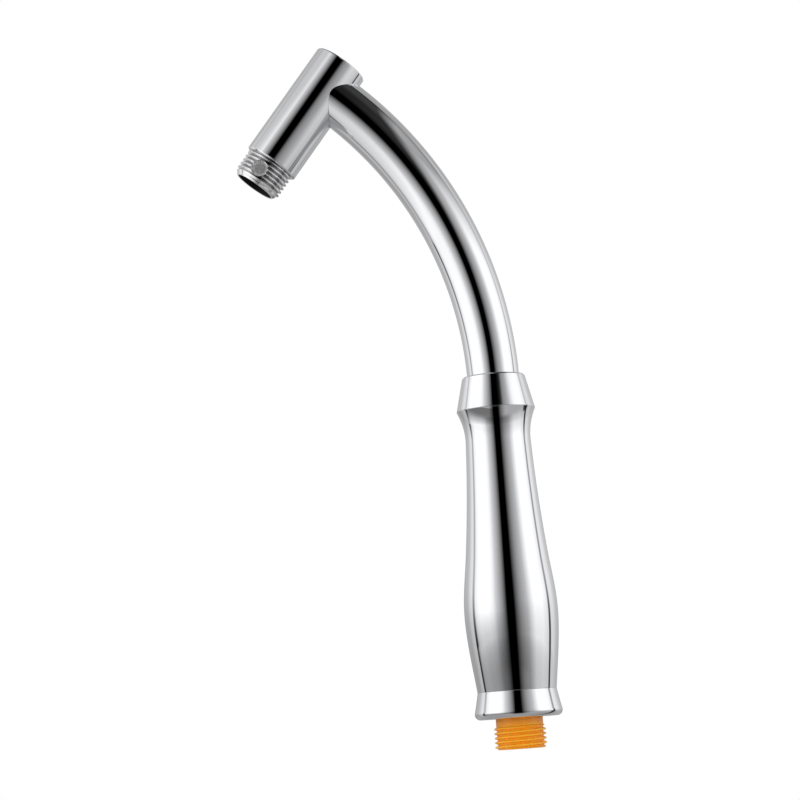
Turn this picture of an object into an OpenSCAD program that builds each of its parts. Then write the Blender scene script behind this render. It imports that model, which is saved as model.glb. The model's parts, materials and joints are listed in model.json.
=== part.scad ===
// Handheld bath sprayer: a chromed wand with a swelling grip, a bent arm and a slanted head.
// The hose screws on to the inlet spigot at the foot, and a spray rose on to the outlet at the head.
// Millimetres. The grip's axis is +Z, the arm bends towards -X, and the whole is symmetric in Y.
// The origin is the centre of the inlet spigot's sealing face.

/* [Threads] */
// Outside diameter of both pipe threads (G 1/2)
thread_d = 20.955; // [20.8:0.005:21]
// Pitch of both pipe threads (14 turns to the inch)
thread_pitch = 1.814; // [1.7:0.002:1.9]
// Depth of the thread form
thread_depth = 1.162; // [1:0.002:1.2]

/* [Inlet] */
// How far the inlet spigot stands out of the foot ring
spigot_len = 12.4; // [12:0.1:14]
// Plain neck between the thread and the foot ring
spigot_neck = 3.3; // [3:0.1:3.6]
// Bore that holds the check valve cartridge
valve_bore_d = 15; // [14.9:0.1:15.1]
// Travel of the check valve's poppet
poppet_travel = 3; // [2:0.1:3.2]
// Coils in the check valve's spring
spring_turns = 5; // [4:1:5]

/* [Grip] */
// Diameter of the foot ring's rounded lip
lip_d = 35.5; // [34.8:0.1:36]
// Diameter at the crease between the foot ring and the grip
crease_d = 32; // [31.5:0.1:32.3]
// Height of the crease
crease_z = 23.3; // [22.8:0.1:24.2]
// Diameter of the grip's belly
belly_d = 38; // [37:0.1:39]
// Height of the belly
belly_z = 55; // [53:0.5:57]
// Diameter above the belly, where the grip thins fastest
waist_d = 33.2; // [32.8:0.1:33.6]
// Height of the waist
waist_z = 79.5; // [77:0.5:82]
// Diameter of the neck, the grip's thinnest place
neck_d = 26.6; // [26.2:0.1:27.2]
// Height of the neck
neck_z = 125.8; // [124.8:0.1:126.4]
// Wall of the grip's sleeve
grip_wall = 2.6; // [2.2:0.1:2.8]

/* [Collar] */
// Diameter of the sharp edge where the collar meets the grip
edge_d = 32.2; // [31.6:0.1:32.6]
// Height of the sharp edge
edge_z = 137.8; // [137.5:0.1:138.3]
// Height of the collar's cone
collar_h = 13.5; // [13:0.1:13.8]
// Diameter at the top of the cone
collar_top_d = 25.8; // [25.6:0.1:26.4]
// Rise of the collar's sloping crown
crown_h = 0.7; // [0.6:0.1:1.2]

/* [Arm] */
// Outside diameter of the arm tube
arm_d = 21.3; // [21.3:0.1:21.6]
// Wall of the arm tube
arm_wall = 1.5; // [1.4:0.1:1.6]
// Radius of the arm's bend, at the tube's centre
bend_r = 164; // [158:1:170]
// Angle that the arm turns through
bend_angle = 51.6; // [48:0.1:55]
// Height at which the bend starts
bend_z = 148.5; // [147.5:0.1:150]

/* [Head] */
// Outside diameter of the head barrel
head_d = 23.1; // [22.8:0.1:23.8]
// Length of the barrel above the arm's centre line
head_above = 13.8; // [13.4:0.1:15]
// Length of the barrel below the arm's centre line
head_below = 37.8; // [35:0.1:40]
// Length of the threaded outlet below the barrel
outlet_len = 11.6; // [11.4:0.1:13]
// Bore of the threaded outlet
outlet_bore_d = 16.1; // [15.8:0.1:16.3]
// Diameter of the round flat that interrupts the outlet's thread
flat_d = 6.6; // [5.5:0.1:6.6]

/* [Hidden] */
$fn = 96;

// Gaps: between pieces that are screwed or brazed together, and round the rings that seal
fit_gap = 0.04;
seal_gap = 0.03;
pass_gap = 0.12;      // round the arm where it leaves the collar

thread_r = thread_d / 2;
root_r = thread_r - thread_depth;
crest_w = 0.3;        // width of the thread's crest
flank_angle = 27.5;   // half the angle between the thread's flanks
thread_steps = 30;    // facets in a turn of thread
land_w = 0.4;         // plain ring of full diameter at each end of a thread
relief = 0.95;        // clear of those rings, for the helical ridge
inlet_tip = [9.4, 1];        // end radius and height of the taper at the inlet's tip
outlet_tip = [8.8, 2.2];     // and at the outlet's

// Inlet core: spigot, flange, and the socket for the water pipe
lip_z = spigot_len;
floor_h = 2.2;                        // floor of the foot ring, under the core's flange
flange_z = lip_z + floor_h;
flange_h = 3;
flange_r = 14.2;
gasket_z = flange_z + flange_h;
gasket_h = 1.5;
grip_z = gasket_z + gasket_h;         // lower end of the grip
core_r = 11.2;
core_top = 44;
nose_r = flange_r + 0.2;              // threaded joint between the foot ring and the grip
spigot_hole_r = thread_r + 0.25;      // hole in the foot ring, which the thread passes
neck_r = root_r + 0.2;

valve_r = valve_bore_d / 2;
screen_z = 2.6;                       // ledge that the inlet screen rests on
screen_r = 8.2;
screen_frame_h = 1.2;
valve_z = 3;                          // lower end of the valve cartridge
valve_groove = [9.2, 11];             // groove for the cartridge's ring, from and to
valve_groove_r = valve_r - 0.75;
seat_z = 6.5;                         // face that the poppet closes on
cage_z = 15;
cage_h = 2.2;
stop_z = cage_z + cage_h;             // step in the core that the cartridge bears on
port_r = 3.9;
chamber_r = 6.1;
poppet_r = 4.9;
poppet_nose_r = 3.1;
seal_h = 0.8;
head_h = 1;                           // thickness of the poppet's head
spring_z0 = seat_z + seal_h + head_h;
spring_z1 = cage_z - 0.6;             // underside of the cage's hub
stem_r = 1.4;
hub_r = 2.9;
hub_bore_r = stem_r + 0.08;
wire_r = 0.25;
coil_r = 2.2;

// Water pipe between the inlet core and the arm
pipe_r = 7;
pipe_in_r = 6;
pipe_z0 = 30;
pipe_z1 = 118;
cord_r = 0.6;                         // half the section of the pipe's sealing rings
groove_half = 1.2 * cord_r;           // half the height of their grooves
core_ring_z = 38;
insert_ring_z = 111;

// Arm
arm_r = arm_d / 2;
arm_in_r = arm_r - arm_wall;
tail_z = 104;                         // lower end of the arm tube, inside the grip
insert_top = 122;
bore_r = arm_r + 0.55;                // the grip's bore round the arm's tail
ferrule_z = 130;
ferrule_h = 16;
ferrule_r = 12;
collar_ring_r = (ferrule_r - arm_r) / 2;
collar_recess = [ferrule_z + ferrule_h, ferrule_z + ferrule_h + 2.4 * collar_ring_r];
sleeve_nose_r = 7.2;                  // locating sleeve in the arm's head end
sleeve_bore_r = 6;
sleeve_s = [9, 12.6, 19];             // nose, step and end, from the head's axis along the arm
sleeve_lap = 0.5;                     // the nose runs this far into the sleeve's body
throat_r = pipe_in_r - 0.4;           // bore of the arm's insert above the pipe's end

// Head, with its own Z along the barrel and its X along the arm
head_r = head_d / 2;
head_tilt = 90 - bend_angle;
head_bore_r = 8.6;
outlet_r = outlet_bore_d / 2;
plug_r = 9.6;                         // bore at each end, for the cap and the outlet's shank
cap_h = 3.5;
shank_len = 8.5;
washer_h = 1.5;
rim = 0.5;                            // chamfer round both ends of the barrel
outlet_end = head_below + outlet_len;
flat_up = 6;                          // centre of the round flat above the outlet's end
flat_turn = 7;                        // and round from the front, towards the far side of the arm
boss_d = flat_d - 2.1;                // raised disc inside the round flat
flat_r = root_r - 0.25;               // the flat's distance from the outlet's axis
boss_rise = 0.2;

chrome = "#c8ccd1";
bright = "#b4b8bc";
brass = "#c9a24a";
orange = "#f08a1c";
rubber = "#26282b";
acetal = "#e8e6dc";
copper = "#c07a50";
steel = "#a9adb2";

// A cubic span between two radii with given slopes, at t from 0 to 1 over a length h
function span(t, h, r0, m0, r1, m1) =
    (2 * t^3 - 3 * t^2 + 1) * r0 + (t^3 - 2 * t^2 + t) * h * m0
    + (3 * t^2 - 2 * t^3) * r1 + (t^3 - t^2) * h * m1;

function span_at(z, a, b) =
    span((z - a[0]) / (b[0] - a[0]), b[0] - a[0], a[1], a[2], b[1], b[2]);

// Stations of the grip's outline: height, radius and slope
crease = [crease_z, crease_d / 2, 0.118];
belly = [belly_z, belly_d / 2, 0];
waist = [waist_z, waist_d / 2, -0.107];

// Radius of the round hollow between the neck and the sharp edge
hollow_rise = (edge_d - neck_d) / 2;
hollow_r = ((edge_z - neck_z)^2 + hollow_rise^2) / (2 * hollow_rise);

// The hollow starts a little below the neck, at this angle, where the last span runs into it
neck_turn = 2.2;
hollow_start = [neck_z - hollow_r * sin(neck_turn),
    neck_d / 2 + hollow_r * (1 - cos(neck_turn)), -tan(neck_turn)];

function grip_radius(z) =
    z < belly_z ? span_at(z, crease, belly)
    : z < waist_z ? span_at(z, belly, waist)
    : z < hollow_start[0] ? span_at(z, waist, hollow_start)
    : neck_d / 2 + hollow_r - sqrt(hollow_r^2 - (z - neck_z)^2);

outline_steps = 52;
cavity_z = [32, ferrule_z];
function along(z0, z1, n) = [for (i = [0:n]) z0 + (z1 - z0) * i / n];

// Rings, washers and turned pieces
module ring(outer, inner, z0, z1) {
    translate([0, 0, z0])
        difference() {
            cylinder(r = outer, h = z1 - z0);
            translate([0, 0, -1]) cylinder(r = inner, h = z1 - z0 + 2);
        }
}

module rod(r, z0, z1) {
    translate([0, 0, z0]) cylinder(r = r, h = z1 - z0);
}

module o_ring(shaft_r, groove_r, z) {
    cord = (groove_r - shaft_r) / 2 - seal_gap;
    color(rubber)
        translate([0, 0, z])
            rotate_extrude()
                translate([(shaft_r + groove_r) / 2, 0]) circle(r = cord, $fn = 32);
}

// A round bar that follows the arm's bend, between two distances from the head's axis
module bent_bar(r, s0, s1) {
    per_mm = 180 / (PI * bend_r);
    translate([-bend_r, 0, bend_z])
        rotate([90, 0, 0])
            rotate([0, 0, bend_angle - s1 * per_mm])
                rotate_extrude(angle = (s1 - s0) * per_mm)
                    translate([bend_r, 0]) circle(r = r);
}

bend_len = bend_angle * PI / 180 * bend_r;

// Places the head: its origin is where the arm's centre line crosses the barrel's axis
module at_head() {
    translate([-bend_r * (1 - cos(bend_angle)), 0, bend_z + bend_r * sin(bend_angle)])
        rotate([0, head_tilt, 0])
            children();
}

// One helical ridge of thread, fading in and out over a quarter turn at each end
module thread_ridge(z0, z1) {
    sink = 0.15;
    n = floor((z1 - z0) / thread_pitch * thread_steps);
    base_w = crest_w + 2 * (thread_depth + sink) * tan(flank_angle);
    function fade(i) = min(1, 4 * min(i, n - i) / thread_steps);
    function tip_r(i) = root_r - sink / 2 + (thread_depth + sink / 2) * fade(i);
    function place(i, r, dz) =
        [r * cos(360 * i / thread_steps), r * sin(360 * i / thread_steps),
         z0 + (z1 - z0) * i / n + dz];
    points = [for (i = [0:n]) each [
        place(i, root_r - sink, -base_w / 2), place(i, tip_r(i), -crest_w / 2),
        place(i, tip_r(i), crest_w / 2), place(i, root_r - sink, base_w / 2)]];
    sides = [for (i = [0:n - 1], k = [0:3]) each
        let (a = 4 * i + k, b = 4 * i + (k + 1) % 4)
        [[a, b, a + 4], [b, b + 4, a + 4]]];
    polyhedron(points, concat(sides, [[0, 2, 1], [0, 3, 2],
        [4 * n, 4 * n + 1, 4 * n + 2], [4 * n, 4 * n + 2, 4 * n + 3]]));
}

// A threaded stub with a tapered tip at z = 0 and a plain ring at each end of its thread
module threaded_stub(length, tip) {
    rod(root_r, tip[1] / 2, length);
    cylinder(r1 = tip[0], r2 = thread_r, h = tip[1]);
    rod(thread_r, tip[1], tip[1] + land_w);
    rod(thread_r, length - land_w, length);
    thread_ridge(tip[1] + land_w + relief, length - land_w - relief);
}

// Inlet
module inlet_core() {
    color(orange)
        difference() {
            union() {
                threaded_stub(spigot_len - spigot_neck, inlet_tip);
                rod(neck_r, spigot_len - spigot_neck, flange_z);
                rod(flange_r, flange_z, gasket_z);
                rod(core_r, gasket_z, core_top);
            }
            rod(screen_r, -1, screen_z);
            rod(valve_r, screen_z - 1, stop_z);
            rod(pipe_in_r, stop_z - 1, pipe_z0);
            rod(pipe_r + fit_gap, pipe_z0, core_top + 1);
            rod(pipe_r + 2 * cord_r, core_ring_z - groove_half, core_ring_z + groove_half);
        }
}

module inlet_screen() {
    wire = 0.3;
    step = 1.5;
    color(steel) {
        ring(screen_r - fit_gap, valve_r - 0.5, screen_z - screen_frame_h, screen_z);
        translate([0, 0, screen_z - screen_frame_h / 2 - wire / 2])
            linear_extrude(wire)
                intersection() {
                    circle(r = valve_r);
                    for (i = [-4:4])
                        union() {
                            translate([i * step, 0]) square([wire, 2 * valve_r], center = true);
                            translate([0, i * step]) square([2 * valve_r, wire], center = true);
                        }
                }
    }
}

module check_valve_body() {
    color(acetal)
        difference() {
            rod(valve_r - fit_gap, valve_z, cage_z);
            rod(port_r, valve_z - 1, cage_z);
            rod(chamber_r, seat_z, cage_z + 1);
            ring(valve_r + 1, valve_groove_r, valve_groove[0], valve_groove[1]);
        }
}

module check_valve_o_ring() {
    o_ring(valve_groove_r, valve_r, (valve_groove[0] + valve_groove[1]) / 2);
}

module check_valve_seal() {
    color(rubber) ring(poppet_r, poppet_nose_r + fit_gap, seat_z, seat_z + seal_h);
}

module check_valve_poppet() {
    nose_z = seat_z - 1;
    point_r = 1.6;
    stem_top = stop_z + 1;
    color(acetal) {
        rod(poppet_r, seat_z + seal_h, spring_z0);
        rod(poppet_nose_r, nose_z, seat_z + seal_h);
        translate([0, 0, nose_z - 1]) cylinder(r1 = point_r, r2 = poppet_nose_r, h = 1);
        rod(stem_r, spring_z0, stem_top);
    }
}

// A round wire wound on a helix, between the poppet's head and the cage's hub
module check_valve_spring() {
    rings = 14;
    sides = 6;
    n = spring_turns * rings;
    clear = 1.1 * wire_r;
    z0 = spring_z0 + clear;
    rise = spring_z1 - spring_z0 - 2 * clear;
    least_gap = rise / spring_turns - 2 * wire_r;
    echo(least_gap_between_coils = least_gap);
    points = [for (i = [0:n], k = [0:sides - 1])
        let (a = 360 * i / rings, b = 360 * k / sides, r = coil_r + wire_r * cos(b))
        [r * cos(a), r * sin(a), z0 + rise * i / n + wire_r * sin(b)]];
    walls = [for (i = [0:n - 1], k = [0:sides - 1]) each
        let (a = sides * i + k, b = sides * i + (k + 1) % sides)
        [[a, b, a + sides], [b, b + sides, a + sides]]];
    first = [for (k = [1:sides - 2]) [0, k + 1, k]];
    last = [for (k = [1:sides - 2]) [sides * n, sides * n + k, sides * n + k + 1]];
    color(steel) polyhedron(points, concat(walls, first, last));
}

module check_valve_cage() {
    spoke_w = 1.2;
    color(acetal)
        difference() {
            union() {
                ring(valve_r - fit_gap, chamber_r, cage_z, stop_z);
                rod(hub_r, spring_z1, stop_z);
                for (a = [0:120:240])
                    rotate([0, 0, a])
                        translate([hub_r - 0.5, -spoke_w / 2, cage_z])
                            cube([chamber_r - hub_r + 1, spoke_w, cage_h]);
            }
            rod(hub_bore_r, spring_z1 - 1, stop_z + 1);
        }
}

// Grip
// The lip's round runs into a flare that is slightly hollow, up to the crease
module base_ring() {
    lip_round = 2.3;
    hollow = 0.06;
    turn = atan(((lip_d - crease_d) / 2 + 4 * hollow) / (crease_z - lip_z - lip_round));
    lip = [for (i = [0:10])
        let (a = -90 + (90 + turn) * i / 10)
        [lip_d / 2 - lip_round + lip_round * cos(a), lip_z + lip_round + lip_round * sin(a)]];
    low = lip[10];
    high = [crease_d / 2, crease_z];
    flare = [for (t = [0.2:0.2:1])
        [low[0] + (high[0] - low[0]) * t - 4 * hollow * t * (1 - t), low[1] + (high[1] - low[1]) * t]];
    color(chrome)
        rotate_extrude()
            polygon(concat([[spigot_hole_r, lip_z]], lip, flare, [
                [nose_r, crease_z],
                [nose_r, flange_z],
                [spigot_hole_r, flange_z]]));
}

module core_gasket() {
    color(rubber) ring(flange_r, core_r + fit_gap, gasket_z, grip_z);
}

module grip() {
    outer = [for (z = along(crease_z, hollow_start[0], outline_steps)) [grip_radius(z), z]];
    flare = [for (z = along(hollow_start[0], edge_z, 12)) [grip_radius(z), z]];
    cavity = [for (z = along(cavity_z[1], cavity_z[0], outline_steps))
        [max(bore_r, grip_radius(z) - grip_wall), z]];
    color(chrome)
        rotate_extrude()
            polygon(concat([
                [core_r + fit_gap, grip_z],
                [nose_r - fit_gap, grip_z],
                [nose_r - fit_gap, crease_z]],
                outer, [for (i = [1:len(flare) - 1]) flare[i]],
                [[ferrule_r + fit_gap, edge_z], [ferrule_r + fit_gap, ferrule_z]],
                cavity,
                [[core_r + fit_gap, cavity_z[0] - 2]]));
}

module water_pipe() {
    color(copper) ring(pipe_r, pipe_in_r, pipe_z0, pipe_z1);
}

module core_o_ring() {
    o_ring(pipe_r, pipe_r + 2 * cord_r, core_ring_z);
}

module insert_o_ring() {
    o_ring(pipe_r, pipe_r + 2 * cord_r, insert_ring_z);
}

// Arm
module arm_insert() {
    color(brass)
        difference() {
            rod(arm_in_r - fit_gap, tail_z, insert_top);
            rod(pipe_r + fit_gap, tail_z - 1, pipe_z1);
            rod(throat_r, pipe_z1 - 1, insert_top + 1);
            rod(pipe_r + 2 * cord_r, insert_ring_z - groove_half, insert_ring_z + groove_half);
        }
}

module arm_tube() {
    color(chrome)
        difference() {
            union() {
                rod(arm_r, tail_z, bend_z);
                bent_bar(arm_r, 0, bend_len);
            }
            rod(arm_in_r, tail_z - 1, bend_z);
            bent_bar(arm_in_r, -1, bend_len);
            at_head() cylinder(r = head_r + fit_gap, h = 4 * arm_d, center = true);
        }
}

module arm_ferrule() {
    color(brass) ring(ferrule_r, arm_r + fit_gap, ferrule_z, ferrule_z + ferrule_h);
}

module collar() {
    top_z = edge_z + collar_h;
    corner = 0.5;
    color(chrome)
        rotate_extrude()
            polygon([
                [ferrule_r + fit_gap, edge_z],
                [edge_d / 2, edge_z],
                [collar_top_d / 2, top_z],
                [collar_top_d / 2 - corner, top_z + corner],
                [arm_r + pass_gap, top_z + crown_h],
                [arm_r + pass_gap, collar_recess[1]],
                [ferrule_r + fit_gap, collar_recess[1]]]);
}

module collar_o_ring() {
    o_ring(arm_r, ferrule_r, (collar_recess[0] + collar_recess[1]) / 2);
}

// Head
module joint_sleeve() {
    color(brass)
        difference() {
            union() {
                bent_bar(sleeve_nose_r - fit_gap, sleeve_s[0], sleeve_s[1] + sleeve_lap);
                bent_bar(arm_in_r - fit_gap, sleeve_s[1], sleeve_s[2]);
            }
            bent_bar(sleeve_bore_r, sleeve_s[0] - 1, sleeve_s[2] + 1);
        }
}

module head_barrel() {
    cap_seat = head_above - cap_h - washer_h;
    shank_seat = -head_below + shank_len + washer_h;
    color(chrome)
        difference() {
            at_head()
                difference() {
                    union() {
                        rod(head_r, -head_below + rim, head_above - rim);
                        translate([0, 0, -head_below])
                            cylinder(r1 = head_r - rim, r2 = head_r, h = rim);
                        translate([0, 0, head_above - rim])
                            cylinder(r1 = head_r, r2 = head_r - rim, h = rim);
                    }
                    rod(head_bore_r, shank_seat - 1, cap_seat + 1);
                    rod(plug_r, cap_seat, head_above + 1);
                    rod(plug_r, -head_below - 1, shank_seat);
                }
            bent_bar(sleeve_nose_r, 0, head_r + 3);
        }
}

module head_cap() {
    cap_r = plug_r - fit_gap;
    edge = 0.3;
    color(chrome)
        at_head() {
            rod(cap_r, head_above - cap_h, head_above - edge);
            translate([0, 0, head_above - edge]) cylinder(r1 = cap_r, r2 = cap_r - edge, h = edge);
        }
}

module cap_gasket() {
    top = head_above - cap_h;
    color(rubber) at_head() ring(plug_r - fit_gap, head_bore_r, top - washer_h, top);
}

module outlet_nipple() {
    color(bright)
        at_head()
            translate([0, 0, -outlet_end])
                difference() {
                    union() {
                        threaded_stub(outlet_len, outlet_tip);
                        rod(plug_r - fit_gap, outlet_len - land_w, outlet_len + shank_len);
                    }
                    rod(outlet_r, -1, outlet_len + shank_len + 1);
                    rotate([90, 0, -flat_turn])
                        translate([0, flat_up, flat_r])
                            difference() {
                                cylinder(d = flat_d, h = 3);
                                translate([0, 0, -1]) cylinder(d = boss_d, h = 1 + boss_rise);
                            }
                }
}

module outlet_gasket() {
    top = -head_below + shank_len + washer_h;
    color(rubber) at_head() ring(plug_r - fit_gap, outlet_r + 0.3, top - washer_h, top);
}

inlet_core();
inlet_screen();
check_valve_body();
check_valve_o_ring();
check_valve_seal();
check_valve_poppet();
check_valve_spring();
check_valve_cage();
base_ring();
core_gasket();
grip();
water_pipe();
core_o_ring();
insert_o_ring();
arm_insert();
arm_tube();
arm_ferrule();
collar();
collar_o_ring();
joint_sleeve();
head_barrel();
head_cap();
cap_gasket();
outlet_nipple();
outlet_gasket();
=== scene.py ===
"""Handheld bath sprayer: the finish of every surface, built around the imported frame.

Shapes are written in millimetres in the frame's own axes: the grip's axis is +Z, the arm bends
towards -X, and the origin is the centre of the inlet's sealing face.
"""
import json
import math

import bpy
import numpy as np
from mathutils import Matrix, Vector


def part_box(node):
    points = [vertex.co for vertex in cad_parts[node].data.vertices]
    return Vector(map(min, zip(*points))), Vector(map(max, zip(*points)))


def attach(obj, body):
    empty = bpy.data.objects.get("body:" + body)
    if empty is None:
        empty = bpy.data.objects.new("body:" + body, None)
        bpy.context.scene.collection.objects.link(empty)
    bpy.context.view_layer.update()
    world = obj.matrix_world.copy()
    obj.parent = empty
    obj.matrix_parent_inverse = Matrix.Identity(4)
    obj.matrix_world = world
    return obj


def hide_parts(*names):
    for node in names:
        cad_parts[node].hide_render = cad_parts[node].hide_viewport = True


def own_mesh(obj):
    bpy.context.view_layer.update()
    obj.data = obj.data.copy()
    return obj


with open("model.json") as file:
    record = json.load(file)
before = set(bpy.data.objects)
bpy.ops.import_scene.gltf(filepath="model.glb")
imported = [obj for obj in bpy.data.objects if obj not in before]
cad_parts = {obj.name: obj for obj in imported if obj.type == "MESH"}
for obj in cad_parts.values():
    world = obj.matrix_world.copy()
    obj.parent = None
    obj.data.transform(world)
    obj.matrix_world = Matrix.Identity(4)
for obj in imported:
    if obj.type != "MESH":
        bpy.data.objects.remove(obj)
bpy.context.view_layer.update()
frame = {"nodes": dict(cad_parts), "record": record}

MM = 0.001
HANDSET = "handset"
AROUND = 288                    # columns round a turned piece
OUTLET_ROWS, OUTLET_COLUMNS = 250, 320          # of the threaded stretch
SPIGOT_ROWS = 220               # of the spigot's threaded stretch
ARM_ROWS, ARM_HOLLOW_ROWS = 170, 60             # along the arm's outside and inside
FILLET_STEPS = 5                # steps round a corner
SUPPORT = 0.05                  # distance of the row that holds a flat next to a corner

nodes = frame["nodes"]
mounts = {m["name"]: m for m in frame["record"]["mounts"]}


def span(node, axis):
    """Lowest and highest coordinate of a node along an axis, in millimetres."""
    low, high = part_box(node)
    return low[axis] / MM, high[axis] / MM


# Sizes that the frame gives
lip_z, crease_z = span("base_ring", 2)
lip_r = span("base_ring", 0)[1]
grip_z = span("grip", 2)[0]
belly_r = span("grip", 0)[1]
edge_z, crown_z = span("collar", 2)
edge_r = span("collar", 0)[1]
arm_r = span("arm_tube", 1)[1]
tail_z = span("arm_tube", 2)[0]
head_r = span("head_barrel", 1)[1]
cap_r = span("head_cap", 1)[1]
shank_r = cap_r
flange_r, core_top = span("inlet_core", 0)[1], span("inlet_core", 2)[1]
ferrule_z, ferrule_top = span("arm_ferrule", 2)
ferrule_r = span("arm_ferrule", 1)[1]
gasket_z = span("core_gasket", 2)[0]
pipe_r = span("water_pipe", 0)[1]
pipe_z = span("water_pipe", 2)[0]
thread_r = mounts["rose_outlet"]["dims"]["r_mm"]
outlet_r = mounts["outlet_bore"]["dims"]["r_mm"]
outlet_tip_end = Vector(mounts["rose_seal_face"]["pos_m"]) / MM
outlet_down = Vector(mounts["rose_seal_face"]["axis"])
screen_rim_r = span("inlet_screen", 0)[1]
screen_low, screen_high = span("inlet_screen", 2)
spring_low, spring_high = span("check_valve_spring", 2)

# Sizes that only the outlines need
CREASE_R, CREASE_SLOPE = 16.0, 0.118
BELLY_Z = 55.0
WAIST_R, WAIST_Z, WAIST_SLOPE = 16.6, 79.5, -0.107
NECK_R, NECK_Z, NECK_TURN = 13.3, 125.8, math.radians(2.2)
LIP_ROUND, FLARE_HOLLOW = 2.3, 0.06
FOOT_FLOOR = 2.2
COLLAR_TOP_R, COLLAR_H, COLLAR_CORNER = 12.9, 13.5, 0.5
PASS_GAP, FIT_GAP, TAIL_GAP = 0.12, 0.04, 0.55
NOSE_R = flange_r + 0.2
HOLE_R = thread_r + 0.25
WALL = 2.6
CORE_R = 11.2
CORE_BORE_Z, CAVITY_Z = 30.0, 33.0              # between these heights the grip widens inside
VALVE_R, SCREEN_Z, STOP_Z, WATERWAY_R = 7.5, 2.6, 17.2, 6.0
ARM_WALL = 1.5
BEND_R, BEND_ANGLE, BEND_Z = 164.0, math.radians(51.6), 148.5
BEND_LEN = BEND_R * BEND_ANGLE
HEAD_ABOVE, HEAD_BELOW, HEAD_RIM = 13.8, 37.8, 0.5
HEAD_BORE_R = 8.6
CAP_H, WASHER_H = 3.5, 1.5
OUTLET_LEN, SHANK_LEN = 11.6, 8.5
OUTLET_TIP = (8.8, 2.2)         # end radius and height of the taper at the outlet's tip
INLET_TIP = (9.4, 1.0)          # and at the inlet's
PITCH, DEPTH = 1.814, 1.162
root_r = thread_r - DEPTH
SPIGOT_THREAD, SPIGOT_NECK_R = 9.1, root_r + 0.2
FLAT_UP, FLAT_TURN = 6.0, math.radians(7)       # the outlet's round flat: height and place round it
FLAT_D, BOSS_D, FLAT_OUT, BOSS_RISE = 6.6, 4.5, root_r - 0.15, 0.12
flat_angle = -math.pi / 2 - FLAT_TURN
OUTLET_PHASE, INLET_PHASE = 0.19, 0.12          # where each thread starts, in turns
SPRING_TURNS, COIL_R, WIRE_R = 5, 2.2, 0.25
SCREEN_STEP, SCREEN_WIRE_R = 0.75, 0.11

# The camera, in metres, and its focal length in millimetres
CAMERA_AT, CAMERA_TARGET = (-0.045, -1.0, 0.0097), (-0.03890, 0, 0.14480)
CAMERA_ROLL, CAMERA_LENS = math.radians(-4.0508), 110.63

# The studio, in metres: the light tent with its brightness, the floor, the fill light and the world
TENT_R, TENT_TOP, FLOOR_Z = 1.5, 3.0, -0.10
KEY = 1.22
WHITE_FROM, WHITE_BY = 0.2, 0.5                 # the floor turns white between these distances
FILL_AT, FILL_TILT = (-0.05, -0.55, 0.02), math.radians(88)
FILL_SIZE, FILL_POWER = 0.5, 1.6
WORLD_LIGHT = 0.55

# Stops round the tent, each an azimuth in degrees, 0 in front and positive to +X, and a value: the
# side cloths' brightness, the depth of the gaps between them, and the depth of a seam in the base
SIDE_LIGHT = ((-180, 0.24), (-158, 0.46), (-134, 0.50), (-121, 0.72), (-102, 0.84), (-94, 0.95),
              (-84, 1.08), (-58, 1.08), (-46, 0.92), (-38, 0.62), (-22, 0.26), (-12, 0), (6.5, 0),
              (22, 0.27), (38, 0.49), (52, 0.91), (58, 1.06), (80, 1.08), (94, 0.92), (104, 0.82),
              (121, 0.79), (136, 0.56), (152, 0.50), (180, 0.24))
GAPS = ((-180, 0), (-112, 0), (-109, 1), (-104, 1), (-101, 0), (99.5, 0), (102, 1), (107, 1),
        (110, 0), (180, 0))
SEAM = ((-180, 0), (93, 0), (96, 1), (109, 1), (113, 0), (180, 0))

# The two films that dim what is mirrored through them: azimuths, radius, lowest and highest point
LEFT_FILM = ((-109, -10), 0.30, FLOOR_Z, 0.08)
RIGHT_FILM = ((-12, 110), 0.50, 0.25, 1.30)
RIGHT_EDGE = (1.447, 0.229)                     # slope of the right film's dark edge, and height at x = 0

head_centre = outlet_tip_end - outlet_down * (HEAD_BELOW + OUTLET_LEN)
head_up = -outlet_down
head_along = Vector((head_up.z, 0, -head_up.x))     # from the head along the arm
HEAD_FRAME = Matrix((head_along, Vector((0, 1, 0)), head_up)).transposed()


# ---------------------------------------------------------------- meshes

def grid_faces(points, poles):
    """A closed surface from points[row, column] in millimetres, as vertices in metres and arrays of
    faces. Columns join round; rows join round too, or end in poles. The faces are turned outwards,
    told by the sign of the enclosed volume: the sum of a . (b x c) over the triangles."""
    rows, cols = points.shape[:2]
    index = np.arange(rows * cols).reshape(rows, cols)
    low, high = (index[:-1], index[1:]) if poles else (index, np.roll(index, -1, 0))
    quads = np.stack([low, np.roll(low, -1, 1), np.roll(high, -1, 1), high], -1).reshape(-1, 4)
    verts = points.reshape(-1, 3) * MM
    faces = [quads]
    if poles:
        south, north = len(verts), len(verts) + 1
        verts = np.vstack([verts, points[0].mean(0) * MM, points[-1].mean(0) * MM])
        first, last = index[0], index[-1]
        faces.append(np.stack([np.full(cols, south), np.roll(first, -1), first], -1))
        faces.append(np.stack([np.full(cols, north), last, np.roll(last, -1)], -1))
    volume = 0.0
    for group in faces:
        for k in range(1, group.shape[1] - 1):
            a, b, c = verts[group[:, 0]], verts[group[:, k]], verts[group[:, k + 1]]
            volume += np.einsum("ij,ij->i", a, np.cross(b, c)).sum()
    if volume < 0:
        faces = [group[:, ::-1] for group in faces]
    return verts, faces


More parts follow.
